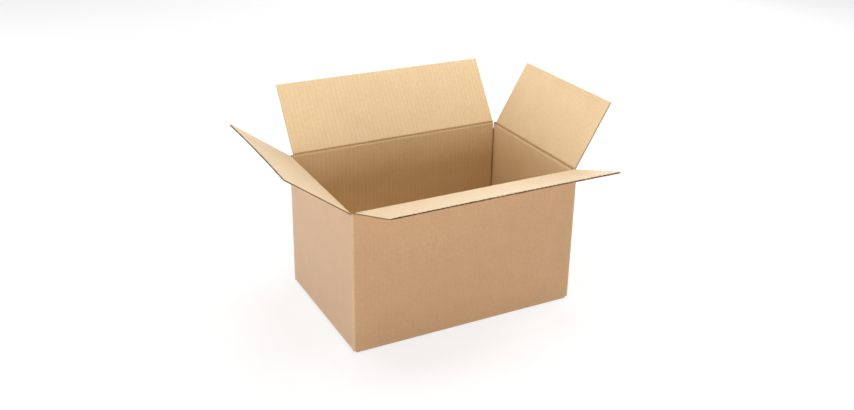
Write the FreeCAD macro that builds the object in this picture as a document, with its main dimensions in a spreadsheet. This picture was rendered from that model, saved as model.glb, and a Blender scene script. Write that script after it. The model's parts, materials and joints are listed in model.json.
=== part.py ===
"""Open cardboard box: a slotted carton of single-wall corrugated board, with its four top flaps swung open.

The carton is one folded blank: four walls, a glued side joint and four bottom flaps that are folded
shut and glued. Each top flap is cut and scored on the same blank and turns on its crease.
Millimetres, +Z up. The origin is the middle of the footprint on the underside, +X runs along the
long walls towards the right, and the front wall faces -Y.
"""

import FreeCAD, Part
import os
import re
import Sketcher

doc = FreeCAD.newDocument("open_cardboard_box")

# Driving dimensions
SIZES = (
    ("box_length", 350.0, "outside, along X"),
    ("box_width", 228.0, "outside, along Y"),
    ("crease_height", 205.5, "underside to the crease of the left and right top flaps"),
    ("board", 3.0, "thickness of the corrugated board"),
    ("liner", 0.25, "thickness of each facing paper"),
    ("medium", 0.22, "thickness of the fluted paper"),
    ("flute_pitch", 6.5, "from one flute to the next"),
    ("flute_crest", 1.1, "flat of a flute, inside its crest"),
    ("flute_web", 0.3, "slanted fluted paper, measured along the board"),
    ("edge_margin", 0.4, "least paper beside the last flute at a side edge"),
    ("slot_setback", 5.3, "from a corner's outside to the side edge of a flap"),
    ("slot_depth", 0.5, "how far a slot runs past the crease at its end"),
    ("corner_radius", 2.5, "outside of the upright folds"),
    ("fold_radius", 2.5, "outside of the bottom folds"),
    ("top_gap", 8.0, "between the long top flaps when both are shut"),
    ("seam_gap", 0.5, "between the long bottom flaps"),
    ("stack_gap", 0.2, "between a shut long flap and the short ones under it"),
    ("tab_width", 35.0, "glue tab, along the outside of the back wall"),
    ("tab_inset", 9.0, "from the creases to the ends of the glue tab"),
    ("tab_taper", 9.0, "how much shorter the tab's free edge is at each end"),
    ("long_crease_depth", 1.4, "from a long wall's outside to the line that its flap turns on"),
    ("short_crease_depth", 0.6, "the same on the short walls"),
    ("bead_radius", 0.5, "rolled paper along the crease"),
    ("bead_play", 0.1, "between the rolled paper and its seat"),
    ("flap_play", 0.3, "between a flap's end and the slot beside it"),
    ("fold_play", 1.0, "degrees kept free at each side of a crease"),
    ("most_open", 150.0, "degrees from upright to fully folded back"),
    ("crushed_length", 1.5, "from the thinned board to where the flutes stand open"),
    ("front_angle", 71.0, "degrees that the front flap leans out"),
    ("back_angle", 34.9, "degrees that the back flap leans out"),
    ("left_angle", 53.9, "degrees that the left flap leans out"),
    ("right_angle", 29.8, "degrees that the right flap leans out"),
    ("overcut", 1.0, "how far a cut runs past the board"),
)

sheet = doc.addObject("Spreadsheet::Sheet", "sizes")
for row, (alias, value, meaning) in enumerate(SIZES, start=1):
    sheet.set(f"A{row}", alias)
    sheet.set(f"B{row}", str(value))
    sheet.set(f"C{row}", meaning)
    sheet.setAlias(f"B{row}", alias)
doc.recompute()


ALIAS = re.compile(r"\b(" + "|".join(alias for alias, _, _ in SIZES) + r")\b")


def bound(words):
    """An expression on the sheet, from a formula in the sheet's own names."""
    return ALIAS.sub(r"sizes.\1", words)


# Places that follow from the driving dimensions
HALF_LENGTH = "(box_length / 2)"
HALF_WIDTH = "(box_width / 2)"
SHORT_CREASE = "crease_height"
LONG_CREASE = (
    "(crease_height + short_crease_depth + stack_gap + board - long_crease_depth)"
)
LONG_FLAP_HALF = "(box_length / 2 - slot_setback)"
SHORT_FLAP_HALF = "(box_width / 2 - slot_setback)"
FLAP_REACH = "(box_width / 2 - long_crease_depth - top_gap / 2)"
CHANNEL_HEIGHT = "(board - 2 * liner - medium)"
CHANNEL_BASE = (
    "((flute_pitch - flute_crest - 2 * flute_web - flute_crest * medium / %s)"
    " / (1 - medium / %s))" % (CHANNEL_HEIGHT, CHANNEL_HEIGHT)
)


def outer_taper(depth):
    """How far from the crease the board is thinned outside, so that the flap can fold right back."""
    return f"({depth} / tan((180 - most_open) / 2 - fold_play))"


def inner_taper(depth):
    """How far from the crease the board is thinned inside, so that the flap can shut."""
    return f"((board - {depth}) / tan(45 - fold_play))"


def flute_start(depth):
    """How far from the crease the flutes stand open."""
    return f"(max({outer_taper(depth)}; {inner_taper(depth)}) + crushed_length)"


def sketch_on(body, name, role, offset="0", slide="0"):
    """A sketch on one of the body's origin planes, moved along its normal and along its own X."""
    sketch = body.newObject("Sketcher::SketchObject", name)
    plane = next(p for p in body.Origin.OriginFeatures if p.Role == role)
    sketch.AttachmentSupport = [(plane, "")]
    sketch.MapMode = "FlatFace"
    sketch.setExpression(".AttachmentOffset.Base.z", bound(offset))
    sketch.setExpression(".AttachmentOffset.Base.x", bound(slide))
    return sketch


def place_point(sketch, geometry, end, x, y):
    """Ties one end of a line, or the centre of a curve, to a place worked out from the sheet."""
    for kind, words in (("DistanceX", x), ("DistanceY", y)):
        value = float(sketch.evalExpression(bound(words)))
        number = sketch.addConstraint(Sketcher.Constraint(kind, -1, 1, geometry, end, value))
        sketch.setExpression(f"Constraints[{number}]", bound(words))


def draw_polygon(sketch, corners):
    """A closed outline of straight lines through corners given as pairs of formulas."""
    spots = [
        FreeCAD.Vector(*(float(sketch.evalExpression(bound(words))) for words in corner))
        for corner in corners
    ]
    first = sketch.GeometryCount
    count = len(spots)
    for i in range(count):
        sketch.addGeometry(Part.LineSegment(spots[i], spots[(i + 1) % count]))
    for i in range(count):
        following = first + (i + 1) % count
        sketch.addConstraint(Sketcher.Constraint("Coincident", first + i, 2, following, 1))
    for i, (x, y) in enumerate(corners):
        place_point(sketch, first + i, 1, x, y)


def draw_rectangle(sketch, low, high):
    """A rectangle between two corners."""
    draw_polygon(sketch, [low, (high[0], low[1]), high, (low[0], high[1])])


def draw_circle(sketch, x, y, radius):
    """A circle about a place, both from the sheet."""
    number = sketch.addGeometry(
        Part.Circle(
            FreeCAD.Vector(
                float(sketch.evalExpression(bound(x))), float(sketch.evalExpression(bound(y)))
            ),
            FreeCAD.Vector(0, 0, 1),
            float(sketch.evalExpression(bound(radius))),
        )
    )
    place_point(sketch, number, 3, x, y)
    value = float(sketch.evalExpression(bound(radius)))
    held = sketch.addConstraint(Sketcher.Constraint("Radius", number, value))
    sketch.setExpression(f"Constraints[{held}]", bound(radius))


def draw_spandrel(sketch, corner, inward_x, inward_y, radius):
    """What a rounding takes off a square corner: two straight sides and the arc between their ends."""
    x, y = corner
    along_x = (f"{x} + {inward_x} * {radius}", y)
    along_y = (x, f"{y} + {inward_y} * {radius}")
    centre = (along_x[0], along_y[1])
    points = [
        FreeCAD.Vector(*(float(sketch.evalExpression(bound(words))) for words in pair))
        for pair in (corner, along_x, along_y, centre)
    ]
    size = float(sketch.evalExpression(bound(radius)))
    middle = points[3] + (points[0] - points[3]).normalize() * size
    first = sketch.GeometryCount
    sketch.addGeometry(Part.LineSegment(points[2], points[0]))
    sketch.addGeometry(Part.LineSegment(points[0], points[1]))
    # a sketch's arcs run counterclockwise, so the arc starts at whichever end comes first that way
    leftward = (points[1] - points[3]).cross(points[2] - points[3]).z > 0
    ends = (points[1], points[2]) if leftward else (points[2], points[1])
    sketch.addGeometry(Part.Arc(ends[0], middle, ends[1]))
    arc = first + 2
    near, far = (1, 2) if leftward else (2, 1)
    sketch.addConstraint(Sketcher.Constraint("Coincident", first, 2, first + 1, 1))
    sketch.addConstraint(Sketcher.Constraint("Coincident", first + 1, 2, arc, near))
    sketch.addConstraint(Sketcher.Constraint("Coincident", first, 1, arc, far))
    place_point(sketch, first, 1, *along_y)
    place_point(sketch, first, 2, *corner)
    place_point(sketch, first + 1, 2, *along_x)
    words = centre[0]
    held = sketch.addConstraint(
        Sketcher.Constraint("DistanceX", -1, 1, arc, 3, float(sketch.evalExpression(bound(words))))
    )
    sketch.setExpression(f"Constraints[{held}]", bound(words))


def extrude(body, kind, name, sketch, length, both_ways=False, upward=False):
    """A pad or a pocket of a sketch. A pocket runs against the sketch's normal unless it is turned."""
    feature = body.newObject("PartDesign::" + kind, name)
    feature.Profile = sketch
    feature.SideType = "Symmetric" if both_ways else "One side"
    feature.Reversed = upward
    feature.setExpression("Length", bound(length))
    before = body.Shape.Volume if kind == "Pocket" else 0
    doc.recompute()
    if kind == "Pocket" and not feature.Shape.Volume < before - 1e-6:
        raise RuntimeError(f"{name} took nothing off {body.Label}")
    return feature


# The flap in its own frame: the crease lies along X, the outer face looks to -Y, the flap stands up
def make_flap(name, half_width, depth, place, yaw, lean):
    """One top flap: board with open flutes at its free edge, tapered and rolled along its crease."""
    body = doc.addObject("PartDesign::Body", name)
    body.Label = name
    outside = f"-{depth}"
    inside = f"board - {depth}"

    board = sketch_on(body, name + "_section", "YZ_Plane")
    draw_polygon(
        board,
        [
            ("0", "0"),
            (inside, inner_taper(depth)),
            (inside, FLAP_REACH),
            (outside, FLAP_REACH),
            (outside, outer_taper(depth)),
        ],
    )
    extrude(body, "Pad", name + "_board", board, f"2 * {half_width}", both_ways=True)

    roll = sketch_on(body, name + "_roll", "YZ_Plane")
    draw_circle(roll, "0", "0", "bead_radius")
    extrude(body, "Pad", name + "_bead", roll, f"2 * {half_width}", both_ways=True)

    count = f"floor((2 * {half_width} - {CHANNEL_BASE} - 2 * edge_margin) / flute_pitch + 0.5)"
    first = f"-({count} - 0.5) * flute_pitch / 2"
    flutes = sketch_on(body, name + "_flutes", "XY_Plane", offset=FLAP_REACH)
    outer_paper = f"{outside} + liner"
    inner_paper = f"{inside} - liner"
    draw_polygon(
        flutes,
        [
            (f"{first} - {CHANNEL_BASE} / 2", outer_paper),
            (f"{first} + {CHANNEL_BASE} / 2", outer_paper),
            (f"{first} + flute_crest / 2", f"{outer_paper} + {CHANNEL_HEIGHT}"),
            (f"{first} - flute_crest / 2", f"{outer_paper} + {CHANNEL_HEIGHT}"),
        ],
    )
    second = f"{first} + flute_pitch / 2"
    draw_polygon(
        flutes,
        [
            (f"{second} - {CHANNEL_BASE} / 2", inner_paper),
            (f"{second} + {CHANNEL_BASE} / 2", inner_paper),
            (f"{second} + flute_crest / 2", f"{inner_paper} - {CHANNEL_HEIGHT}"),
            (f"{second} - flute_crest / 2", f"{inner_paper} - {CHANNEL_HEIGHT}"),
        ],
    )
    channel = extrude(body, "Pocket", name + "_flute", flutes, f"{FLAP_REACH} - {flute_start(depth)}")

    row_of_flutes = body.newObject("PartDesign::LinearPattern", name + "_flute_row")
    row_of_flutes.Originals = [channel]
    row_of_flutes.Direction = (flutes, ["H_Axis"])
    row_of_flutes.Mode = "Extent"
    row_of_flutes.setExpression("Length", bound(f"({count} - 1) * flute_pitch"))
    row_of_flutes.setExpression("Occurrences", bound(count))
    body.Tip = row_of_flutes

    body.setExpression(
        "Placement",
        bound(
            f"create(<<placement>>; create(<<vector>>; {place});"
            f" create(<<rotation>>; {yaw}; 0; {lean}))"
        ),
    )
    return body


def mirrored_corners(corners):
    """The same outline on the other side of the sketch's upright axis."""
    return [(f"-({x})", y) for x, y in corners]


def cut_creases(body, name, plane, outer, depth, crease, length):
    """Shapes the tops of two opposite walls: a ridge inside and outside the crease line, and its seat."""
    wedge = [
        (f"{outer} + overcut", f"{crease} - {outer_taper(depth)}"),
        (outer, f"{crease} - {outer_taper(depth)}"),
        (f"{outer} - {depth}", crease),
        (f"{outer} - board", f"{crease} - {inner_taper(depth)}"),
        (f"{outer} - board - overcut", f"{crease} - {inner_taper(depth)}"),
        (f"{outer} - board - overcut", f"{crease} + overcut"),
        (f"{outer} + overcut", f"{crease} + overcut"),
    ]
    slope = sketch_on(body, name + "_slope", plane)
    draw_polygon(slope, wedge)
    draw_polygon(slope, mirrored_corners(wedge))
    extrude(body, "Pocket", name + "_crease", slope, length, both_ways=True)
    seat = sketch_on(body, name + "_seat", plane)
    draw_circle(seat, f"{outer} - {depth}", crease, "bead_radius + bead_play")
    draw_circle(seat, f"-({outer} - {depth})", crease, "bead_radius + bead_play")
    extrude(body, "Pocket", name + "_groove", seat, length, both_ways=True)


def round_folds(body, name, plane, outer, height, length):
    """Rounds the outside of two opposite bottom folds."""
    sketch = sketch_on(body, name + "_round", plane)
    draw_spandrel(sketch, (outer, height), -1, 1, "fold_radius")
    draw_spandrel(sketch, (f"-{outer}", height), 1, 1, "fold_radius")
    extrude(body, "Pocket", name + "_fold", sketch, length, both_ways=True)


def cut_corners(body, name, offset, height):
    """Takes the four slot ends out of the walls' corners."""
    sketch = sketch_on(body, name + "_sketch", "XY_Plane", offset=offset)
    for sign_x in ("", "-"):
        for sign_y in ("", "-"):
            draw_rectangle(
                sketch,
                (f"{sign_x}{LONG_FLAP_HALF}", f"{sign_y}{SHORT_FLAP_HALF}"),
                (f"{sign_x}({HALF_LENGTH} + overcut)", f"{sign_y}({HALF_WIDTH} + overcut)"),
            )
    extrude(body, "Pocket", name, sketch, height, upward=True)


def cut_ends(body, name, offset, half_width, height):
    """Takes both short walls down, over the slots' width, for as deep as a long flap lies over them."""
    sketch = sketch_on(body, name + "_sketch", "XY_Plane", offset=offset)
    for sign in ("", "-"):
        draw_rectangle(
            sketch,
            (f"{sign}{LONG_FLAP_HALF}", f"-{half_width}"),
            (f"{sign}({HALF_LENGTH} + overcut)", half_width),
        )
    extrude(body, "Pocket", name, sketch, height, upward=True)


def make_carton():
    """The folded blank without its top flaps: walls, side joint and shut bottom flaps."""
    body = doc.addObject("PartDesign::Body", "carton")
    body.Label = "carton"

    footprint = sketch_on(body, "footprint", "XY_Plane")
    draw_rectangle(
        footprint, (f"-{HALF_LENGTH}", f"-{HALF_WIDTH}"), (HALF_LENGTH, HALF_WIDTH)
    )
    block = extrude(body, "Pad", "walls", footprint, LONG_CREASE)

    # three upright folds are round, and the fourth corner is the glued joint
    folds = []
    for number, edge in enumerate(block.Shape.Edges, start=1):
        low, high = (edge.Vertexes[0].Point, edge.Vertexes[1].Point)
        upright = abs(low.x - high.x) < 1e-6 and abs(low.y - high.y) < 1e-6
        if upright and not (low.x > 0 and low.y > 0):
            folds.append(f"Edge{number}")
    rounded = body.newObject("PartDesign::Fillet", "upright_folds")
    rounded.Base = (block, folds)
    rounded.setExpression("Radius", bound("corner_radius"))
    doc.recompute()

    hollow = sketch_on(body, "inside", "XY_Plane")
    draw_rectangle(
        hollow,
        (f"-({HALF_LENGTH} - board)", f"-({HALF_WIDTH} - board)"),
        (f"{HALF_LENGTH} - board", f"{HALF_WIDTH} - board"),
    )
    extrude(body, "Pocket", "inside_walls", hollow, LONG_CREASE, upward=True)

    long_flaps = sketch_on(body, "long_bottom_flaps", "XY_Plane")
    for sign in ("", "-"):
        draw_rectangle(
            long_flaps,
            (f"-{LONG_FLAP_HALF}", f"{sign}(seam_gap / 2)"),
            (LONG_FLAP_HALF, f"{sign}({HALF_WIDTH} - board / 2)"),
        )
    extrude(body, "Pad", "long_bottom_boards", long_flaps, "board")

    short_flaps = sketch_on(body, "short_bottom_flaps", "XY_Plane", offset="board")
    for sign in ("", "-"):
        draw_rectangle(
            short_flaps,
            (f"{sign}({HALF_LENGTH} - {HALF_WIDTH} + seam_gap / 2)", f"-{SHORT_FLAP_HALF}"),
            (f"{sign}({HALF_LENGTH} - board / 2)", SHORT_FLAP_HALF),
        )
    extrude(body, "Pad", "short_bottom_boards", short_flaps, "board")

    cut_ends(body, "bottom_ends", "0", f"({HALF_WIDTH} + overcut)", "board")
    cut_corners(body, "bottom_slots", "0", "board + slot_depth")
    round_folds(body, "long_bottom", "YZ_Plane", HALF_WIDTH, "0", "box_length")
    round_folds(body, "short_bottom", "XZ_Plane", HALF_LENGTH, "board", f"2 * {SHORT_FLAP_HALF}")

    long_end = f"({LONG_FLAP_HALF} + flap_play)"
    short_end = f"({SHORT_FLAP_HALF} + flap_play)"
    rise = f"{LONG_CREASE} - {SHORT_CREASE} + overcut"
    cut_ends(body, "top_ends", SHORT_CREASE, short_end, rise)
    cut_corners(body, "top_slots", f"{LONG_CREASE} - slot_depth", "slot_depth + overcut")
    long_sizes = (HALF_WIDTH, "long_crease_depth", LONG_CREASE, f"2 * {long_end}")
    cut_creases(body, "long_top", "YZ_Plane", *long_sizes)
    short_sizes = (HALF_LENGTH, "short_crease_depth", SHORT_CREASE, f"2 * {short_end}")
    cut_creases(body, "short_top", "XZ_Plane", *short_sizes)

    # the tab goes on from the right wall, round a fold and over the outside of the back wall
    tab_low = "board + tab_inset"
    tab_high = f"{SHORT_CREASE} - tab_inset"
    tab_end = f"{HALF_LENGTH} - board - tab_width"
    tab = sketch_on(body, "tab_outline", "XZ_Plane", offset=f"-({HALF_WIDTH} + board)")
    draw_polygon(
        tab,
        [
            (HALF_LENGTH, tab_low),
            (HALF_LENGTH, tab_high),
            (tab_end, f"{tab_high} - tab_taper"),
            (tab_end, f"{tab_low} + tab_taper"),
        ],
    )
    extrude(body, "Pad", "glue_tab", tab, "board")
    bend = sketch_on(body, "joint_bend", "XY_Plane")
    draw_spandrel(bend, (HALF_LENGTH, f"({HALF_WIDTH} + board)"), -1, -1, "corner_radius")
    extrude(body, "Pocket", "joint_fold", bend, LONG_CREASE, upward=True)

    # the back wall is cut off flush with its flap, which leaves a slit before the right wall
    joint = sketch_on(body, "joint_outline", "XY_Plane")
    draw_rectangle(
        joint,
        (LONG_FLAP_HALF, f"{HALF_WIDTH} - board - overcut"),
        (f"{HALF_LENGTH} - board", HALF_WIDTH),
    )
    extrude(body, "Pocket", "cut_end", joint, LONG_CREASE, upward=True)
    return body


def long_flap(name, sign, yaw, lean):
    """The flap of a long wall, on the side of Y that the sign gives."""
    place = f"0; {sign}({HALF_WIDTH} - long_crease_depth); {LONG_CREASE}"
    return make_flap(name, LONG_FLAP_HALF, "long_crease_depth", place, yaw, lean)


def short_flap(name, sign, yaw, lean):
    """The flap of a short wall, on the side of X that the sign gives."""
    place = f"{sign}({HALF_LENGTH} - short_crease_depth); 0; {SHORT_CREASE}"
    return make_flap(name, SHORT_FLAP_HALF, "short_crease_depth", place, yaw, lean)


nodes = [
    make_carton(),
    long_flap("top_flap_front", "-", "0", "front_angle"),
    long_flap("top_flap_back", "", "180", "back_angle"),
    short_flap("top_flap_left", "-", "-90", "left_angle"),
    short_flap("top_flap_right", "", "90", "right_angle"),
]
doc.recompute()

for item in doc.Objects:
    if "Invalid" in item.State or "Error" in item.State:
        raise RuntimeError(f"{item.Name} failed: {item.State}")
for node in nodes:
    if node.Shape.isNull() or not node.Shape.isValid() or len(node.Shape.Solids) != 1:
        raise RuntimeError(f"{node.Label} is not one valid solid")

os.makedirs("parts", exist_ok=True)
for node in nodes:
    node.Shape.exportStep(f"parts/{node.Label}.step")
    print(f"{node.Label}: {node.Shape.Volume:.0f} cubic mm, {len(node.Shape.Faces)} faces")
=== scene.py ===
# %% [markdown]
# An open cardboard box, dressed for its picture.
# The real object is one blank of corrugated board: two flat papers with a fluted paper glued between
# them. It is creased, folded up and glued, and its four top flaps stand open. The carton and the flaps
# come in as solids that carry the real sizes. This script replaces them with the three papers
# themselves, so that the flutes show wherever the board was cut.

# %% Load the solids
import json
import math
from collections import namedtuple

import bpy
from mathutils import Matrix, Vector, noise


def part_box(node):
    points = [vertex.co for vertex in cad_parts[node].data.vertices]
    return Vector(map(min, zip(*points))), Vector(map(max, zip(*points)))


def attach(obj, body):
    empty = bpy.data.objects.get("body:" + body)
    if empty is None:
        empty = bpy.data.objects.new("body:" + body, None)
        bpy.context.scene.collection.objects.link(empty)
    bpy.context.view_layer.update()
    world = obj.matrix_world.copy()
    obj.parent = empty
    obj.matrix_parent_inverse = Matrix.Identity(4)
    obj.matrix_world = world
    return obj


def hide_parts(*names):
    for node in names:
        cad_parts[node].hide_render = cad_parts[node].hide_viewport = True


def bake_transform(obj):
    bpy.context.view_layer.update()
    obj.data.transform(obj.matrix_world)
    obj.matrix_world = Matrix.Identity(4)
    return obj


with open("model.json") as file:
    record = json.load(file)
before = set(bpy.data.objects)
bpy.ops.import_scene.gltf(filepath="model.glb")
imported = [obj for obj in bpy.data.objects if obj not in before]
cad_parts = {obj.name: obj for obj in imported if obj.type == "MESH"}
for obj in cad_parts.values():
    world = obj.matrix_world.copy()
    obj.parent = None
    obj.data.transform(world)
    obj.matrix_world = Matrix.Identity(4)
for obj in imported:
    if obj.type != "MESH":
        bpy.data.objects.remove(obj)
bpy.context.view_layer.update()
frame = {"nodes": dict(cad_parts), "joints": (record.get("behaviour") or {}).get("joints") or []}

# %% [markdown]
# The board is measured in millimetres by the people who make it, and Blender works in metres here.
# One flute every 6.5 mm and 3 mm of thickness is the common single-wall board of small cartons. Where
# the board is creased, the flutes are pressed nearly flat, so it gets a second, much smaller thickness.

# %% Sizes of the board
MM = 0.001
BOARD = 3.0 * MM
LINER = 0.25 * MM
FLUTED = 0.22 * MM
PITCH = 6.5 * MM
WASHBOARD = 0.08 * MM
PRESSED = 0.85 * MM
FOLDED = 1.9 * MM
FOLD_RADIUS = 2.5 * MM
PRESS_LENGTH = 1.5 * MM
print("flutes to a metre:", round(1 / PITCH))

# %% [markdown]
# Every flap turns on a crease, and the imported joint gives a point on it, its direction and its range.
# Shut is 90 degrees inward from upright, so the lower limit also tells how far the flap leans out now.
# The flap's own axes follow: X along the crease, Y into the box when the flap is upright, Z up the flap.

# %% Read each flap's axes and size
UP = Vector((0, 0, 1))
SIDES = ("front", "back", "left", "right")
JOINTS = {joint["child"]: joint for joint in frame["joints"]}
Flap = namedtuple("Flap", "side hinge axes lean half reach outside inside")


def read_flap(side):
    """Where a flap turns, how it stands, and its size in its own axes."""
    joint = JOINTS[f"{side}_flap"]
    along = Vector(joint["axis"])
    lean = math.radians(-90 - joint["range_deg"][0])
    upright = Matrix((along, UP.cross(along), UP)).transposed()
    turned = upright @ Matrix.Rotation(lean, 3, "X")
    hinge = Vector(joint["pos_m"])
    axes = Matrix.Translation(hinge) @ turned.to_4x4()
    to_flap = axes.inverted()
    spots = [to_flap @ vertex.co for vertex in frame["nodes"][f"top_flap_{side}"].data.vertices]
    return Flap(
        side,
        hinge,
        axes,
        lean,
        max(p.x for p in spots),
        max(p.z for p in spots),
        -min(p.y for p in spots),
        max(p.y for p in spots),
    )


FLAPS = {side: read_flap(side) for side in SIDES}
for flap in FLAPS.values():
    print(f"{flap.side} flap: leans {math.degrees(flap.lean):.1f} degrees, reaches {flap.reach / MM:.1f} mm")

# %% [markdown]
# The camera stands where the photograph was taken from, to the left of the front wall and well above
# it. Its lens is long, so the box shows little perspective. A small lens shift moves the picture's
# middle up, as on a camera that is held nearly level, and the camera is turned a little about its own
# axis, because the upright edges in the photograph are not quite upright.

# %% Camera
PHOTO_WIDTH = 854
PHOTO_HEIGHT = 410
CAMERA_TURN = 0.4848
CAMERA_DOWN = 0.4019
CAMERA_ROLL = 0.0161
CAMERA_DISTANCE = 1.4396
CAMERA_AIM = Vector((-0.0073, 0, 0.1819))
FOCAL_PIXELS = 993.3
PRINCIPAL_ROW = 180
SENSOR_WIDTH = 36
FARTHEST_SEEN = 50


def camera_matrix():
    """The camera's place: back along its view line from the aim point, then rolled."""
    back = Vector(
        (
            -math.sin(CAMERA_TURN) * math.cos(CAMERA_DOWN),
            -math.cos(CAMERA_TURN) * math.cos(CAMERA_DOWN),
            math.sin(CAMERA_DOWN),
        )
    )
    level = UP.cross(back).normalized()
    turned = Matrix((level, back.cross(level), back)).transposed()
    place = Matrix.Translation(CAMERA_AIM + back * CAMERA_DISTANCE) @ turned.to_4x4()
    return place @ Matrix.Rotation(CAMERA_ROLL, 4, "Z")


scene = bpy.context.scene
camera = bpy.data.objects.new("camera", bpy.data.cameras.new("camera"))
scene.collection.objects.link(camera)
camera.data.sensor_width = SENSOR_WIDTH
camera.data.lens = FOCAL_PIXELS / PHOTO_WIDTH * SENSOR_WIDTH
camera.data.shift_y = (PRINCIPAL_ROW - PHOTO_HEIGHT / 2) / PHOTO_WIDTH
camera.data.clip_end = FARTHEST_SEEN
camera.matrix_world = camera_matrix()
scene.camera = camera
scene.view_settings.view_transform = "Standard"
print("lens, mm:", round(camera.data.lens, 1))

# %% [markdown]
# Both kinds of node tree below, for shapes and for papers, are made in code. Two helpers keep that
# short: one adds a node and fills its inputs, the other adds a Math node and returns its result.

# %% Helpers for node trees
def add_node(tree, kind, inputs=None, **settings):
    """Adds a node. Each input is given by name or number, as a plain value or another node's output."""
    made = tree.nodes.new(kind)
    for name, value in settings.items():
        setattr(made, name, value)
    sockets = [socket for socket in made.inputs if socket.enabled]
    for key, value in (inputs or {}).items():
        target = sockets[key] if isinstance(key, int) else next(s for s in sockets if s.name == key)
        if isinstance(value, bpy.types.NodeSocket):
            tree.links.new(value, target)
        else:
            target.default_value = value
    return made


def calc(tree, operation, *values, clamp=False):
    """The result of one Math node."""
    inputs = dict(enumerate(values))
    return add_node(tree, "ShaderNodeMath", inputs, operation=operation, use_clamp=clamp).outputs[0]


# %% [markdown]
# Kraft paper is not one colour. It has soft clouds where the pulp lay thicker, short fibres that run
# round the box the way the paper ran through its machine, and a few dark flecks. Faint stripes at the
# flute pitch are painted shade, standing in for the light and shade on the washboard ripples. The
# patterns read a map in metres: its first number runs across the flutes, all round the box, and its
# second runs along them, so that a wall and its flap share one pattern. A second value is 1 on a fold
# or a cut and falls to 0 beside it. Cut and bent paper is paler there, because its fibres are broken,
# and on the folds the pale is also a painted highlight on the rounded edge. Where the value is below 0,
# along a crease, the paper is darker: painted shade for the crease's groove.

# %% Paper material
CLOUD_SCALE = 36
MOTTLE_SCALE = 260
FIBRE_SCALE = 2600
PATCH_SCALE = 120
FLECK_SCALE = 900
FLECK_SHARE = 0.22
TONE_GAIN = 2.0
SHEEN_ROUGHNESS = 0.5
SPECULAR = 0.65
BUMP_STRENGTH = 0.4
BUMP_HEIGHT = 0.06 * MM


def colour(red, green, blue):
    """A colour as it is read off a screen, turned into the linear numbers that a shader takes."""

    def linear(value):
        value /= 255
        return value / 12.92 if value <= 0.04045 else ((value + 0.055) / 1.055) ** 2.4

    return (linear(red), linear(green), linear(blue), 1)


def pattern(tree, spot, stretch, scale, detail=3.0, roughness=0.55):
    """Noise of one size on the paper's map, stretched along either of its directions, from 0 to 1."""
    moved = add_node(tree, "ShaderNodeMapping", {"Vector": spot, "Scale": (*stretch, 1)})
    inputs = {
        "Vector": moved.outputs[0],
        "Scale": scale,
        "Detail": detail,
        "Roughness": roughness,
    }
    return add_node(tree, "ShaderNodeTexNoise", inputs, noise_dimensions="2D").outputs["Fac"]


def mix_colour(tree, share, first, second, blend="MIX"):
    """Two colours mixed by a share from 0 to 1."""
    made = add_node(tree, "ShaderNodeMix", data_type="RGBA", blend_type=blend)
    for name, value in (("Factor", share), ("A", first), ("B", second)):
        target = next(s for s in made.inputs if s.enabled and s.name == name)
        if isinstance(value, bpy.types.NodeSocket):
            tree.links.new(value, target)
        else:
            target.default_value = value
    return next(s for s in made.outputs if s.enabled)


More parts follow.
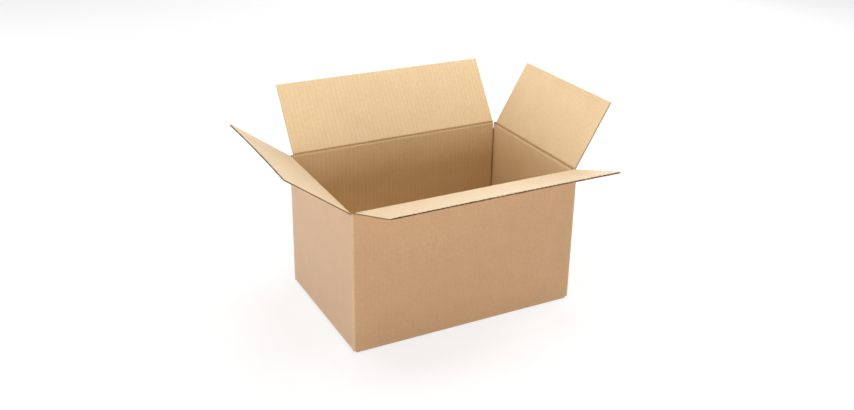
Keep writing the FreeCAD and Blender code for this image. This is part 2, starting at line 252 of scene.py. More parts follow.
def paper(name, light, dark, pale_share, painted_ripple_shade, sheen):
    """One kind of paper: its two colours, how pale its folds and cuts get, its painted washboard shade, and
    its sheen.
    """
    material = bpy.data.materials.new(name)
    material.use_nodes = True
    tree = material.node_tree
    shader = tree.nodes["Principled BSDF"]
    spot = add_node(tree, "ShaderNodeUVMap", uv_map="board").outputs[0]
    run = add_node(tree, "ShaderNodeSeparateXYZ", {0: spot}).outputs["X"]

    clouds = pattern(tree, spot, (1, 1), CLOUD_SCALE)
    mottle = pattern(tree, spot, (0.9, 1), MOTTLE_SCALE)
    fibre = pattern(tree, spot, (0.22, 1), FIBRE_SCALE, 2.0, 0.6)
    grain = calc(tree, "MULTIPLY_ADD", fibre, 0.45, calc(tree, "MULTIPLY", mottle, 0.55))
    tone = calc(tree, "MULTIPLY_ADD", clouds, 0.25, calc(tree, "MULTIPLY", grain, 0.75))
    tone = calc(tree, "MULTIPLY_ADD", tone, TONE_GAIN, (1 - TONE_GAIN) / 2, clamp=True)

    # Painted shade: stripes at the flute pitch that stand in for the light and shade on the washboard
    # ripples.
    wave = calc(tree, "COSINE", calc(tree, "MULTIPLY", run, 2 * math.pi / PITCH))
    patchy = pattern(tree, spot, (1, 0.12), PATCH_SCALE)
    glue = calc(tree, "MULTIPLY", calc(tree, "MULTIPLY", wave, patchy), painted_ripple_shade)
    tone = calc(tree, "ADD", tone, glue, clamp=True)
    shade = mix_colour(tree, tone, dark, light)

    flecks = pattern(tree, spot, (0.35, 1), FLECK_SCALE, 1.0)
    fleck = calc(tree, "MULTIPLY_ADD", flecks, 9.0, -6.3, clamp=True)
    shade = mix_colour(tree, calc(tree, "MULTIPLY", fleck, FLECK_SHARE), shade, FLECK_COLOUR)

    # Pale on folds and cuts: broken fibres, and on folds also a painted highlight.
    wear = add_node(tree, "ShaderNodeAttribute", attribute_name="wear").outputs["Fac"]
    uneven = calc(tree, "MULTIPLY_ADD", mottle, 0.8, 0.6)
    pale = calc(tree, "MULTIPLY", calc(tree, "MULTIPLY", wear, uneven), pale_share, clamp=True)
    shade = mix_colour(tree, pale, shade, PALE_FIBRE_AND_HIGHLIGHT)
    # Below 0, along creases, the paper is darkened: painted shade for the crease's groove.
    crease_shade = calc(tree, "MULTIPLY", wear, -1.0, clamp=True)
    shade = mix_colour(tree, crease_shade, shade, CREASE_SHADE_TINT, "MULTIPLY")
    tree.links.new(shade, shader.inputs["Base Color"])

    dull = calc(tree, "MULTIPLY_ADD", grain, 0.2, 0.5)
    tree.links.new(dull, shader.inputs["Roughness"])
    shader.inputs["Sheen Weight"].default_value = sheen
    shader.inputs["Sheen Roughness"].default_value = SHEEN_ROUGHNESS
    shader.inputs["Specular IOR Level"].default_value = SPECULAR
    inputs = {"Strength": BUMP_STRENGTH, "Distance": BUMP_HEIGHT, "Height": grain}
    bump = add_node(tree, "ShaderNodeBump", inputs)
    tree.links.new(bump.outputs[0], shader.inputs["Normal"])
    return material


FLECK_COLOUR = colour(120, 84, 50)
# The colour of the painted shade along the creases.
CREASE_SHADE_TINT = colour(176, 136, 96)
# The pale of broken fibres, also used as a painted highlight on folds.
PALE_FIBRE_AND_HIGHLIGHT = colour(222, 198, 161)
OUTSIDE_PAPER = paper(
    "outside_kraft",
    light=colour(197, 157, 114),
    dark=colour(180, 140, 98),
    pale_share=0.3,
    painted_ripple_shade=0.08,
    sheen=0.4,
)
INSIDE_PAPER = paper(
    "inside_kraft",
    light=colour(230, 201, 155),
    dark=colour(214, 183, 136),
    pale_share=0.3,
    painted_ripple_shade=0.2,
    sheen=0.28,
)
FLUTE_PAPER = paper(
    "flute_kraft",
    light=colour(166, 127, 87),
    dark=colour(145, 107, 69),
    pale_share=0.55,
    painted_ripple_shade=0.0,
    sheen=0.0,
)
print("papers:", OUTSIDE_PAPER.name, INSIDE_PAPER.name, FLUTE_PAPER.name)

# %% [markdown]
# Corrugated board repeats one flute hundreds of times, which is work for Geometry Nodes. The tree below
# takes a thin surface that says where the board runs, and turns each point of it into three papers. A
# cosine carries the middle paper from one liner to the other and back once every flute. The liners sink
# a little between the lines where the flutes are glued, by an uneven amount, and that washboard is what
# catches the light on a real box. The surface tells how thick the board is at each point, so the same
# tree makes flat board, a folded corner and a pressed crease.

# %% Geometry Nodes tree for corrugated board
WELD = 0.001 * MM
SLANT_THICKER = 0.45


def new_board_tree():
    """An empty tree with the board's sizes and its three papers as named inputs."""
    tree = bpy.data.node_groups.new("corrugated_board", "GeometryNodeTree")
    add = tree.interface.new_socket
    add("Surface", in_out="INPUT", socket_type="NodeSocketGeometry")
    for label in ("Flute pitch", "Liner paper", "Fluted paper", "Washboard depth", "Seed"):
        add(label, in_out="INPUT", socket_type="NodeSocketFloat")
    for label in ("Outside material", "Flute material", "Inside material"):
        add(label, in_out="INPUT", socket_type="NodeSocketMaterial")
    add("Board", in_out="OUTPUT", socket_type="NodeSocketGeometry")
    return tree


def read_attribute(tree, name, kind="FLOAT"):
    """A value that the surface carries at each of its points."""
    made = add_node(tree, "GeometryNodeInputNamedAttribute", {"Name": name}, data_type=kind)
    return made.outputs["Attribute"]


def add_ply(tree, surface, outward, upper, lower, number):
    """One closed sheet of paper between two distances from the surface, marked with its number."""
    to_upper = add_node(
        tree, "ShaderNodeVectorMath", {"Vector": outward, "Scale": upper}, operation="SCALE"
    ).outputs[0]
    face = add_node(tree, "GeometryNodeSetPosition", {"Geometry": surface, "Offset": to_upper})
    drawn = add_node(
        tree,
        "GeometryNodeExtrudeMesh",
        {"Mesh": face.outputs[0], "Offset Scale": 0.0, "Individual": False},
    )
    depth = calc(tree, "SUBTRACT", lower, upper)
    to_lower = add_node(
        tree, "ShaderNodeVectorMath", {"Vector": outward, "Scale": depth}, operation="SCALE"
    ).outputs[0]
    inputs = {
        "Geometry": drawn.outputs["Mesh"],
        "Selection": drawn.outputs["Top"],
        "Offset": to_lower,
    }
    sunk = add_node(tree, "GeometryNodeSetPosition", inputs)
    turned = add_node(tree, "GeometryNodeFlipFaces", {"Mesh": sunk.outputs[0]})
    both = add_node(tree, "GeometryNodeJoinGeometry")
    tree.links.new(turned.outputs[0], both.inputs[0])
    tree.links.new(face.outputs[0], both.inputs[0])
    closed = add_node(
        tree, "GeometryNodeMergeByDistance", {"Geometry": both.outputs[0], "Distance": WELD}
    )
    inputs = {"Geometry": closed.outputs[0], "Name": "ply", "Value": number}
    marked = add_node(
        tree, "GeometryNodeStoreNamedAttribute", inputs, data_type="INT", domain="FACE"
    )
    return marked.outputs[0]


def fill_board_tree(tree):
    """Wires the tree: where each paper's two faces lie, then the three sheets and their materials."""
    given = tree.nodes.new("NodeGroupInput").outputs
    outward = read_attribute(tree, "outward", "FLOAT_VECTOR")
    outer = read_attribute(tree, "outer")
    inner = read_attribute(tree, "inner")
    flute = calc(tree, "DIVIDE", read_attribute(tree, "run"), given["Flute pitch"])
    angle = calc(tree, "MULTIPLY", flute, 2 * math.pi)
    crest = calc(tree, "MULTIPLY_ADD", calc(tree, "COSINE", angle), 0.5, 0.5)

    spot = calc(tree, "MULTIPLY_ADD", flute, 0.7, given["Seed"])
    noise = add_node(
        tree, "ShaderNodeTexNoise", {"W": spot, "Scale": 1.0, "Detail": 2.0}, noise_dimensions="1D"
    ).outputs["Fac"]
    uneven = calc(tree, "MULTIPLY_ADD", noise, 3.0, -0.9, clamp=True)
    sink = calc(tree, "MULTIPLY", uneven, given["Washboard depth"])
    outer_sink = calc(tree, "MULTIPLY", sink, calc(tree, "SUBTRACT", 1.0, crest))
    inner_sink = calc(tree, "MULTIPLY", sink, crest)

    outer_face = calc(tree, "SUBTRACT", outer, outer_sink)
    outer_back = calc(tree, "SUBTRACT", outer_face, given["Liner paper"])
    inner_face = calc(tree, "SUBTRACT", inner_sink, inner)
    inner_back = calc(tree, "ADD", inner_face, given["Liner paper"])

    half = calc(tree, "MULTIPLY", given["Fluted paper"], 0.5)
    low = calc(tree, "ADD", inner_back, half)
    high = calc(tree, "SUBTRACT", outer_back, half)
    middle = calc(tree, "MULTIPLY_ADD", crest, calc(tree, "SUBTRACT", high, low), low)
    slant = calc(tree, "POWER", calc(tree, "SINE", angle), 2.0)
    thick = calc(tree, "MULTIPLY", half, calc(tree, "MULTIPLY_ADD", slant, SLANT_THICKER, 1.0))
    medium_face = calc(tree, "ADD", middle, thick)
    medium_back = calc(tree, "SUBTRACT", middle, thick)

    surface = given["Surface"]
    plies = (
        add_ply(tree, surface, outward, outer_face, outer_back, 0),
        add_ply(tree, surface, outward, medium_face, medium_back, 1),
        add_ply(tree, surface, outward, inner_back, inner_face, 2),
    )
    joined = add_node(tree, "GeometryNodeJoinGeometry")
    for ply in plies:
        tree.links.new(ply, joined.inputs[0])
    board = add_node(tree, "GeometryNodeRealizeInstances", {0: joined.outputs[0]}).outputs[0]
    number = read_attribute(tree, "ply", "INT")
    for value, label in enumerate(("Outside material", "Flute material", "Inside material")):
        same = add_node(
            tree, "FunctionNodeCompare", {0: number, 1: value}, data_type="INT", operation="EQUAL"
        )
        inputs = {"Geometry": board, "Selection": same.outputs[0], "Material": given[label]}
        board = add_node(tree, "GeometryNodeSetMaterial", inputs).outputs[0]
    tree.links.new(board, tree.nodes.new("NodeGroupOutput").inputs[0])


BOARD_TREE = new_board_tree()
fill_board_tree(BOARD_TREE)
print("board tree:", len(BOARD_TREE.nodes), "nodes")

# %% [markdown]
# A surface is a plain grid. Each point says where it is, which way is outward, how far the board goes
# to either side of it, where it lies on the blank, and how pale or dark its paper is made: worn at cuts
# and folds, with a painted highlight on folds and painted shade on creases. The tree reads those as
# attributes. Its result becomes a plain mesh, with the blank's two directions as its map, and edges
# sharper than 35 degrees stay sharp.

# %% From a surface to a piece of board
SHARP_FROM = math.radians(35)
Spot = namedtuple("Spot", "point outward outer inner run rise wear")
BOARD_INPUTS = {
    "Flute pitch": PITCH,
    "Liner paper": LINER,
    "Fluted paper": FLUTED,
    "Washboard depth": WASHBOARD,
    "Seed": 3.0,
    "Outside material": OUTSIDE_PAPER,
    "Flute material": FLUTE_PAPER,
    "Inside material": INSIDE_PAPER,
}


def surface_mesh(name, columns):
    """A grid of spots as a mesh. Its faces look outward, whichever way its columns run."""
    spots = [spot for column in columns for spot in column]
    rows = len(columns[0])
    faces = [
        (i * rows + j, (i + 1) * rows + j, (i + 1) * rows + j + 1, i * rows + j + 1)
        for i in range(len(columns) - 1)
        for j in range(rows - 1)
    ]
    a, b, c, _ = (spots[k].point for k in faces[len(faces) // 2])
    if (b - a).cross(c - a).dot(spots[faces[len(faces) // 2][0]].outward) < 0:
        faces = [face[::-1] for face in faces]
    mesh = bpy.data.meshes.new(name)
    mesh.from_pydata([spot.point for spot in spots], [], faces)
    for field in ("outer", "inner", "run", "rise", "wear"):
        values = mesh.attributes.new(field, "FLOAT", "POINT")
        values.data.foreach_set("value", [getattr(spot, field) for spot in spots])
    outward = mesh.attributes.new("outward", "FLOAT_VECTOR", "POINT")
    outward.data.foreach_set("vector", [v for spot in spots for v in spot.outward])
    return mesh


def corrugate(name, surface):
    """Runs the tree on a surface and returns the finished board as an object with a plain mesh."""
    holder = bpy.data.objects.new(name + "_surface", surface)
    scene.collection.objects.link(holder)
    modifier = holder.modifiers.new("corrugate", "NODES")
    modifier.node_group = BOARD_TREE
    for item in BOARD_TREE.interface.items_tree:
        if item.in_out == "INPUT" and item.name in BOARD_INPUTS:
            modifier[item.identifier] = BOARD_INPUTS[item.name]
    graph = bpy.context.evaluated_depsgraph_get()
    mesh = bpy.data.meshes.new_from_object(holder.evaluated_get(graph))
    bpy.data.objects.remove(holder)
    return mesh


def finish_board(name, mesh):
    """Gives the mesh its map and its smooth faces, drops what only the tree needed, and links it."""
    mesh.name = name
    run = [item.value for item in mesh.attributes["run"].data]
    rise = [item.value for item in mesh.attributes["rise"].data]
    layer = mesh.uv_layers.new(name="board")
    for loop in mesh.loops:
        layer.data[loop.index].uv = (run[loop.vertex_index], rise[loop.vertex_index])
    for field in ("outer", "inner", "run", "rise", "outward", "ply"):
        mesh.attributes.remove(mesh.attributes[field])
    mesh.shade_smooth()
    mesh.set_sharp_from_angle(angle=SHARP_FROM)
    piece = bpy.data.objects.new(name, mesh)
    scene.collection.objects.link(piece)
    print(f"{name}: {len(mesh.polygons)} faces")
    return piece


def make_board(name, columns):
    """A piece of corrugated board along a grid of spots."""
    return finish_board(name, corrugate(name, surface_mesh(name, columns)))


# %% [markdown]
# Beside a crease the board is pressed thin. It gets its full thickness back within a few millimetres,
# quickly on the inside, where the creasing wheel pressed, and slowly on the outside. That makes the
# narrow groove along each crease: when the flap leans out, the groove's upper side is in shade and its
# lower side catches light, and a dark line with a pale band under it runs along the wall. The slopes
# also leave each flap room to fold right in and right back. The board ends where both of them leave no
# more than its pressed thickness.

# %% Thickness beside a crease or a fold
OUTER_SLOPE = math.tan(math.radians(14))
INNER_SLOPE = math.tan(math.radians(44))
HINGE_GAP = PRESSED / (OUTER_SLOPE + INNER_SLOPE)
ROUNDING = 0.5 * MM
# Painted shade along the creases: a value below 0 darkens the paper.
CREASE_SHADE = -0.6
FOLD_MARK_WIDTH = 2.6 * MM


def ease(share):
    """From 0 to 1 with a soft start and end."""
    share = min(max(share, 0), 1)
    return share * share * (3 - 2 * share)


def soft_least(first, second, width):
    """The smaller of two values, rounded off where they are nearly the same."""
    near = max(width - abs(first - second), 0) / width
    return min(first, second) - near * near * width / 4


def thinned(distance, slope, full):
    """How far the board goes to one side of the crease's plane, at a distance from the crease."""
    return soft_least(distance * slope, full, ROUNDING)


def beside_crease(distance, flap):
    """The board's two half thicknesses, outside and inside the plane that the flap's crease lies in."""
    return (
        thinned(distance, OUTER_SLOPE, flap.outside),
        thinned(distance, INNER_SLOPE, flap.inside),
    )


def fold_nearness(distance):
    """1 on a folded line and 0 beside it."""
    return 1 - ease(distance / FOLD_MARK_WIDTH)


print("pressed board at a crease, mm:", PRESSED / MM)

# %% [markdown]
# Seen from above, the walls are one strip. It starts at the back wall's cut end, turns four corners and
# ends in the glue tab, on the outside of the back wall. The back wall is cut off flush with its flap,
# a little before the right wall, and that leaves the dark slit in the back right corner. Walking along
# the strip gives each column of the walls' surface. In a folded corner the board is squeezed thin.

# %% The strip of walls, seen from above
carton_low, carton_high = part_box("carton")
HALF_X = carton_high.x
HALF_Y = -carton_low.y
TAB_FACE = carton_high.y
TAB_WIDTH = 35 * MM
PLAY = 0.3 * MM
WALL_COLUMNS = 6
TURN_STEPS = 6
STATION_ROOM = 0.3
EDGE_PAIR = 0.01 * MM
NEAR_FOLD = (0.25, 0.5, 0.75, 1.0)
Column = namedtuple("Column", "run place outward wall along zone inner wear")

STRAIGHTS = (
    ("back", (FLAPS["back"].half, HALF_Y), (FOLD_RADIUS - HALF_X, HALF_Y)),
    ("left", (-HALF_X, HALF_Y - FOLD_RADIUS), (-HALF_X, FOLD_RADIUS - HALF_Y)),
    ("front", (FOLD_RADIUS - HALF_X, -HALF_Y), (HALF_X - FOLD_RADIUS, -HALF_Y)),
    ("right", (HALF_X, FOLD_RADIUS - HALF_Y), (HALF_X, TAB_FACE - FOLD_RADIUS)),
    ("tab", (HALF_X - FOLD_RADIUS, TAB_FACE), (HALF_X - BOARD - TAB_WIDTH, TAB_FACE)),
)


def stations(start, length, marks):
    """Distances along a straight: a few for each flute, and the marks."""
    step = PITCH / WALL_COLUMNS
    first = math.ceil(start / step)
    last = math.floor((start + length) / step)
    regular = [k * step - start for k in range(first, last + 1)]
    clear = [t for t in regular if all(abs(t - mark) > STATION_ROOM * step for mark in marks)]
    return sorted([*marks, *clear])


def fold_marks(length, folded_start, folded_end):
    """Closer stations beside a fold, where the board's thickness changes."""
    near = [share * PRESS_LENGTH for share in NEAR_FOLD]
    marks = [0, length]
    marks += near if folded_start else []
    marks += [length - t for t in near] if folded_end else []
    return marks


def zone_edges(name):
    """Distances from the middle of a wall to the places where its top and bottom outline change."""
    if name == "tab":
        return []
    half = FLAPS[name].half + PLAY
    return [-half, half, HALF_Y] if name == "right" else [-half, half]


def zone_at(name, along):
    """Which outline the strip follows there: a flap's crease, a slot's end or the glue tab's."""
    if name == "tab" or (name == "right" and along > HALF_Y):
        return "tab"
    return "flap" if abs(along) < FLAPS[name].half + PLAY else "slot"


def straight_columns(run, name, start, end):
    """The columns of one straight, in the flap's zone or beside it, and the straight's length."""
    start = Vector((*start, 0))
    heading = Vector((*end, 0)) - start
    length = heading.length
    heading.normalize()
    outward = Vector((heading.y, -heading.x, 0))
    folded_start = name != "back"
    folded_end = name != "tab"
    marks = fold_marks(length, folded_start, folded_end)
    middle = -start.dot(heading)
    for edge in zone_edges(name):
        if 0 < middle + edge < length:
            marks += [middle + edge - EDGE_PAIR, middle + edge + EDGE_PAIR]
    columns = []
    for t in stations(run, length, marks):
        gap = min(t if folded_start else length, length - t if folded_end else length)
        inner = FOLDED + (BOARD - FOLDED) * ease(gap / PRESS_LENGTH)
        zone = zone_at(name, t - middle)
        # Pale along the corner folds: broken fibres and a painted highlight.
        wear = fold_nearness(gap + FOLD_RADIUS / 2)
        columns.append(
            Column(run + t, start + heading * t, outward, name, t - middle, zone, inner, wear)
        )
    return columns, length, heading


def corner_columns(run, wall, start, heading):
    """The columns of a round left turn that follows a straight, and the turn's length."""
    inward = Vector((-heading.y, heading.x, 0))
    centre = start + inward * FOLD_RADIUS
    length = FOLD_RADIUS * math.pi / 2
    columns = []
    for k in range(1, TURN_STEPS):
        turn = Matrix.Rotation(math.pi / 2 * k / TURN_STEPS, 3, "Z")
        outward = turn @ -inward
        place = centre + outward * FOLD_RADIUS
        gap = abs(k / TURN_STEPS - 0.5) * length
        spot = run + length * k / TURN_STEPS
        zone = "tab" if wall == "right" else "slot"
        away = HALF_X + HALF_Y
        # The fold's pale mark: broken fibres and a painted highlight.
        columns.append(Column(spot, place, outward, wall, away, zone, FOLDED, fold_nearness(gap)))
    return columns, length


def walk_strip():
    """All columns of the walls in order, and the run at the middle of each wall."""
    run = 0
    columns = []
    middles = {}
    for name, start, end in STRAIGHTS:
        straight, length, heading = straight_columns(run, name, start, end)
        middles[name] = straight[0].run - straight[0].along
        columns += straight
        run += length
        if name != "tab":
            corner, length = corner_columns(run, name, Vector((*end, 0)), heading)
            columns += corner
            run += length
    return columns, middles


STRIP, MIDDLES = walk_strip()
print("strip of walls:", len(STRIP), "columns,", round(STRIP[-1].run / MM), "mm long")

# %% [markdown]
# Upright, a wall starts above its bottom fold and ends just under its crease. The creases of the long
# walls are higher by the board that the long flaps lie on when the box is shut. Between the flaps, the
# slots were punched just past the long creases, and the corners show their cut flutes there. The tab is
# shorter than the walls and narrows towards its free edge. Real walls are never dead flat, so each one
# bellies out by half a millimetre, and the tab follows the wall that it is glued to.

# %% Walls and glue tab
SLOT_PAST = 0.5 * MM
FOLD_START = FOLD_RADIUS + PRESS_LENGTH
BELLY = 0.5 * MM
TAB_INSET = 9 * MM
TAB_TAPER = 9 * MM
BELOW_TOP = [share * MM for share in (0, 0.5, 1.2, 2.1, 3.7, 5.3, 7.5)]
MIDDLE_ROWS = (0.66, 0.33)
FOOT = 3 * MM
BOTTOM_FOLD_OFFSET = 2 * MM
SHORT_CREASE = FLAPS["left"].hinge.z
LONG_CREASE = FLAPS["front"].hinge.z
GLUE_GAP = 0.03 * MM


def wall_span(column):
    """The lowest and highest point of the walls at a column."""
    if column.zone == "tab":
        inset = TAB_INSET + TAB_TAPER * (HALF_X - column.place.x) / (BOARD + TAB_WIDTH)
        return BOARD + inset, SHORT_CREASE - inset
    if column.zone == "slot":
        return BOARD + SLOT_PAST, LONG_CREASE - SLOT_PAST
    level = 0 if column.wall in ("front", "back") else BOARD
    return level + FOLD_START, FLAPS[column.wall].hinge.z - HINGE_GAP


def wall_column(column):
    """The spots of one column of the walls, from the top down."""
    low, high = wall_span(column)
    tops = [high - drop for drop in BELOW_TOP]
    rest = tops[-1] - low
    heights = [*tops, *(low + rest * share for share in MIDDLE_ROWS), low + FOOT, low]
    half = HALF_Y if column.wall in ("left", "right") else HALF_X
    spots = []
    for height in heights:
        outer = 0
        inner = column.inner - (GLUE_GAP if column.wall == "tab" else 0)
        wear = column.wear
        if column.zone == "flap":
            flap = FLAPS[column.wall]
            below = flap.hinge.z - height
            outer, inner = beside_crease(below, flap)
            outer -= flap.outside
            inner += flap.outside - (BOARD - column.inner)
            # Pale along the bottom fold: broken fibres and a painted highlight.
            wear = max(wear, fold_nearness(height - low + BOTTOM_FOLD_OFFSET))
            # Painted shade: the wall's paper is darkened along its crease.
            wear += CREASE_SHADE * fold_nearness(below)
        arch = math.sin(math.pi * min(max(height / SHORT_CREASE, 0), 1))
        belly = BELLY * arch * max(1 - (column.along / half) ** 2, 0)
        point = column.place + UP * height + column.outward * belly
        spots.append(Spot(point, column.outward, outer, inner, column.run, height, wear))
    return spots


walls = make_board("walls_and_glue_tab", [wall_column(column) for column in STRIP])
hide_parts("carton")
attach(walls, "carton")

# %% [markdown]
# Each bottom flap carries on from its wall: a round fold, then flat board to the seam in the middle.
# The two long flaps are outside, and the two short ones lie on them inside the box. One function makes
# all four. It walks down the wall, round the fold and along the bottom.

# %% Bottom flaps
SEAM = 0.5 * MM
FLAP_COLUMNS = 12
FLAT_ROWS = (0.007, 0.014, 0.34, 0.67, 1)
HEADINGS = {side: FLAPS[side].axes.to_3x3().col[0].copy() for side in SIDES}


def flap_runs(side, columns):
    """Distances from the middle of a flap to its columns, in step with the flutes of its wall."""
    half = FLAPS[side].half
    step = PITCH / columns
    start = MIDDLES[side] - half
    first = math.ceil(start / step + STATION_ROOM)
    last = math.floor((start + 2 * half) / step - STATION_ROOM)
    return [-half, *(k * step - MIDDLES[side] for k in range(first, last + 1)), half]


def fold_path(distance):
    """Where the outside face lies after a walk down and round the fold: inward, up, and its direction."""
    bend = FOLD_RADIUS * math.pi / 2
    if distance < PRESS_LENGTH:
        return 0, FOLD_START - distance, 0
    if distance < PRESS_LENGTH + bend:
        angle = (distance - PRESS_LENGTH) / FOLD_RADIUS
        return FOLD_RADIUS * (1 - math.cos(angle)), FOLD_RADIUS * (1 - math.sin(angle)), angle
    return FOLD_RADIUS + distance - PRESS_LENGTH - bend, 0, math.pi / 2


def bottom_column(side, along, distances):
    """The spots of one column of a bottom flap, from the wall to the seam."""
    level = 0 if side in ("front", "back") else BOARD
    wall = HALF_Y if side in ("front", "back") else HALF_X
    heading = HEADINGS[side]
    inward = UP.cross(heading)
    bend = FOLD_RADIUS * math.pi / 2
    spots = []
    for distance in distances:
        across, up, angle = fold_path(distance)
        outward = -inward * math.cos(angle) - UP * math.sin(angle)
        point = heading * along + inward * (across - wall) + UP * (level + up)
        gap = max(abs(distance - PRESS_LENGTH - bend / 2) - bend / 2, 0)
        inner = FOLDED + (BOARD - FOLDED) * ease(gap / PRESS_LENGTH)
        run = MIDDLES[side] + along
        rise = level + FOLD_START - distance
        # Pale along the fold: broken fibres and a painted highlight.
        spots.append(Spot(point, outward, 0, inner, run, rise, fold_nearness(gap + FOLD_RADIUS / 2)))
    return spots


def bottom_distances():
    """Rows of a bottom flap: close together round the fold and far apart on the flat."""
    bend = FOLD_RADIUS * math.pi / 2
    flat = HALF_Y - SEAM / 2 - FOLD_RADIUS
    down = [PRESS_LENGTH * share for share in (0, 0.5)]
    round_fold = [PRESS_LENGTH + bend * k / TURN_STEPS for k in range(TURN_STEPS + 1)]
    along = [PRESS_LENGTH + bend + flat * share for share in FLAT_ROWS]
    return down + round_fold + along


for side in SIDES:
    grid = [bottom_column(side, along, bottom_distances()) for along in flap_runs(side, WALL_COLUMNS)]
    bottom = make_board(f"bottom_flap_{side}", grid)
    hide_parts("carton")
    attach(bottom, "carton")

# %% [markdown]
# The top flaps are the part that shows most. Each is made in its own axes and set on its hinge, so it
# leans as its solid does. A flap that has been folded a few times is no longer flat: its free edge bows
# a little, most on the left one. The free edge shows every flute from its end. The knife that cut it
# pressed the board there. Each liner gave way where no flute stood behind it, here more and there less,
# and the cut has pale fibres.

# %% Top flaps
FLAP_RISES = [HINGE_GAP, *(share * MM for share in (1.1, 1.7, 2.6, 4.2, 5.8, 8.0))]
FROM_EDGE = [share * MM for share in (1.6, 0.8, 0.3, 0)]
FLAP_ROWS = (0.3, 0.55, 0.8)
CUT_PRESS = 0.9 * MM
SIDE_PRESS = 0.6
OUTER_GIVE = (0.6, -0.5)
INNER_GIVE = (0.3, 0.7)
BOW = {"front": 0.4 * MM, "back": 0.5 * MM, "left": 1.2 * MM, "right": 0.5 * MM}


def flap_column(flap, along):
    """The spots of one column of a top flap, from its crease to its free edge."""
    rises = FLAP_RISES + [flap.reach * share for share in FLAP_ROWS]
    rises += [flap.reach - back for back in FROM_EDGE]
    turn = flap.axes.to_3x3()
    outward = turn @ Vector((0, -1, 0))
    uneven = 0.7 + 0.5 * noise.noise((along / PITCH, flap.lean * 10, 0))
    crest = 0.5 + 0.5 * math.cos(2 * math.pi * (MIDDLES[flap.side] + along) / PITCH)
    side_cut = SIDE_PRESS * (1 - ease((flap.half - abs(along)) / FROM_EDGE[0]))
    spots = []
    for rise in rises:
        outer, inner = beside_crease(rise, flap)
        cut = (1 - ease((flap.reach - rise) / FROM_EDGE[0])) * uneven
        outer -= CUT_PRESS * max(cut * (OUTER_GIVE[0] + OUTER_GIVE[1] * crest), side_cut)
        inner -= CUT_PRESS * max(cut * (INNER_GIVE[0] + INNER_GIVE[1] * crest), side_cut)
        bow = BOW[flap.side] * (rise / flap.reach) ** 2 * (1 - (along / flap.half) ** 2)
        point = flap.axes @ Vector((along, bow, rise))
        run = MIDDLES[flap.side] + along
        height = flap.hinge.z + rise
        # Painted shade darkens the paper beside the crease, and the free edge is pale from cut fibres.
        wear = CREASE_SHADE * fold_nearness(rise) + 1 - ease((flap.reach - rise) / FROM_EDGE[1])
        spots.append(Spot(point, outward, outer, inner, run, height, wear))
    return spots


for side, flap in FLAPS.items():
    grid = [flap_column(flap, along) for along in flap_runs(side, FLAP_COLUMNS)]
    board = make_board(f"flap_board_{side}", grid)
    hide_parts(f"top_flap_{side}")
    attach(board, f"{side}_flap")

# %% [markdown]
# Between a wall and its flap the pressed board carries on round the crease. This strip is made for the
# flap's present lean: it follows the wall at its lower edge and the flap at its upper edge.

# %% Creases
CREASE_REACH = 1.3 * MM
CREASE_OUTER = 0.2 * MM
CREASE_INNER = PRESSED - CREASE_OUTER
CREASE_COLUMNS = 4
CREASE_ROWS = 8


def crease_column(flap, along):
    """The spots of one column of a crease, on a curve from the wall to the flap."""
    turn = flap.axes.to_3x3()
    heading = turn.col[0]
    wall_end = -UP * CREASE_REACH
    flap_end = turn.col[2] * CREASE_REACH
    spots = []
    for k in range(CREASE_ROWS + 1):
        t = k / CREASE_ROWS
        place = wall_end * (1 - t) ** 2 + flap_end * t**2
        direction = flap_end * t - wall_end * (1 - t)
        outward = heading.cross(direction).normalized()
        point = flap.hinge + heading * along + place
        run = MIDDLES[flap.side] + along
        height = flap.hinge.z + (2 * t - 1) * CREASE_REACH
        # The whole crease strip is darkened: painted shade.
        spots.append(Spot(point, outward, CREASE_OUTER, CREASE_INNER, run, height, CREASE_SHADE))
    return spots


for side, flap in FLAPS.items():
    grid = [crease_column(flap, along) for along in flap_runs(side, CREASE_COLUMNS)]
    crease = make_board(f"crease_{side}", grid)
    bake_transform(crease)

# %% [markdown]
# The floor is white paper that the box throws a soft shadow on. For the camera alone it also shines by
# itself, so that it runs into the white background and the shadow stays faint, as in the photograph.

# %% Floor and background
FLOOR_SIZE = 12
WORLD_LIGHT = 0.11
FLOOR_SHINE = 0.72
FLOOR_SHARE = 0.4
FLOOR_ALBEDO = 0.78
GRAIN_SCALE = 40.0


def floor_material():
    """White paper for the light, and mostly plain white for the camera."""
    material = bpy.data.materials.new("floor_paper")
    material.use_nodes = True
    tree = material.node_tree
    shader = tree.nodes["Principled BSDF"]
    spot = add_node(tree, "ShaderNodeTexCoord").outputs["Object"]
    grain = add_node(tree, "ShaderNodeTexNoise", {"Vector": spot, "Scale": GRAIN_SCALE, "Detail": 4.0})
    tone = calc(tree, "MULTIPLY_ADD", grain.outputs["Fac"], 0.04, FLOOR_ALBEDO)
    seen = add_node(tree, "ShaderNodeLightPath").outputs["Is Camera Ray"]
    share = calc(tree, "MULTIPLY_ADD", seen, FLOOR_SHARE - 1, 1)
    tree.links.new(calc(tree, "MULTIPLY", tone, share), shader.inputs["Base Color"])
    tree.links.new(calc(tree, "MULTIPLY", seen, FLOOR_SHINE), shader.inputs["Emission Strength"])
    dull = calc(tree, "MULTIPLY_ADD", grain.outputs["Fac"], 0.1, 0.85)
    tree.links.new(dull, shader.inputs["Roughness"])
    shader.inputs["Emission Color"].default_value = (1, 1, 1, 1)
    shader.inputs["Specular IOR Level"].default_value = 0.1
    return material


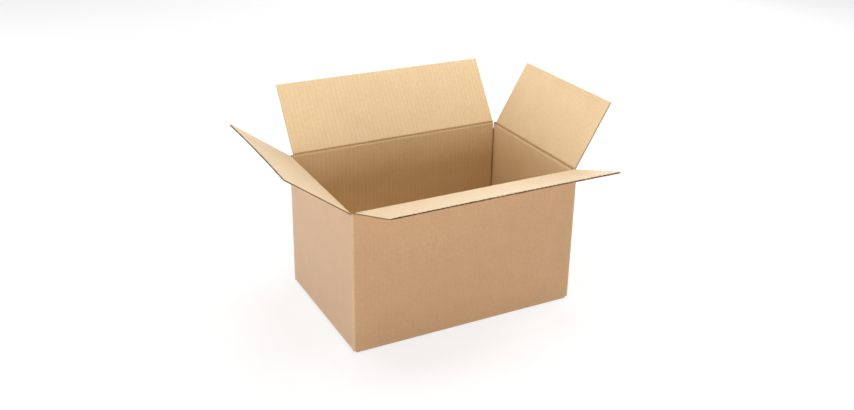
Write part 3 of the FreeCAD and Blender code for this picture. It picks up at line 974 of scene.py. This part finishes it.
floor_mesh = bpy.data.meshes.new("floor")
reach = FLOOR_SIZE / 2
corners = [(-reach, -reach, 0), (reach, -reach, 0), (reach, reach, 0), (-reach, reach, 0)]
floor_mesh.from_pydata(corners, [], [(0, 1, 2, 3)])
floor_mesh.materials.append(floor_material())
floor = bpy.data.objects.new("floor", floor_mesh)
scene.collection.objects.link(floor)

world = bpy.data.worlds.new("studio")
scene.world = world
world.use_nodes = True
sky = world.node_tree
background = sky.nodes["Background"]
ray = add_node(sky, "ShaderNodeLightPath").outputs
seen = calc(sky, "MAXIMUM", ray["Is Camera Ray"], ray["Is Glossy Ray"])
seen = calc(sky, "MAXIMUM", seen, ray["Is Transmission Ray"])
tinted = calc(sky, "MULTIPLY_ADD", seen, 1 - WORLD_LIGHT, WORLD_LIGHT)
background.inputs["Color"].default_value = (1, 1, 1, 1)
sky.links.new(tinted, background.inputs["Strength"])

# %% [markdown]
# The light in the photograph is soft and comes from all round. The left wall is paler than the front
# one, and the inside of the box falls off into a warm shade. Six large square lamps give that, each at
# its own turn round the box and height above the floor. A turn of 0 is straight in front of the box.

# %% Lamps
LAMP_SIZE = 1.1
LAMP_AIM = Vector((0, 0, 0.15))


def soft_lamp(name, turn, height, distance, power):
    """A large square lamp that looks at the box from a turn and a height, both in degrees."""
    light = bpy.data.lights.new(name, "AREA")
    light.shape = "SQUARE"
    light.size = LAMP_SIZE
    light.energy = power
    lamp = bpy.data.objects.new(name, light)
    turn = math.radians(turn)
    height = math.radians(height)
    level = Vector((math.sin(turn), -math.cos(turn), 0))
    away = level * math.cos(height) + UP * math.sin(height)
    lamp.location = LAMP_AIM + away * distance
    lamp.rotation_euler = away.to_track_quat("Z", "Y").to_euler()
    scene.collection.objects.link(lamp)


soft_lamp("front_lamp", -10, 4, 2.4, 39)
soft_lamp("left_lamp", -90, 15, 2.2, 19.5)
soft_lamp("back_left_lamp", -135, 20, 2.2, 16)
soft_lamp("back_right_lamp", 140, 18, 2.2, 13.5)
soft_lamp("high_right_lamp", 90, 50, 2.2, 20)
soft_lamp("top_lamp", 0, 88, 2.3, 20)
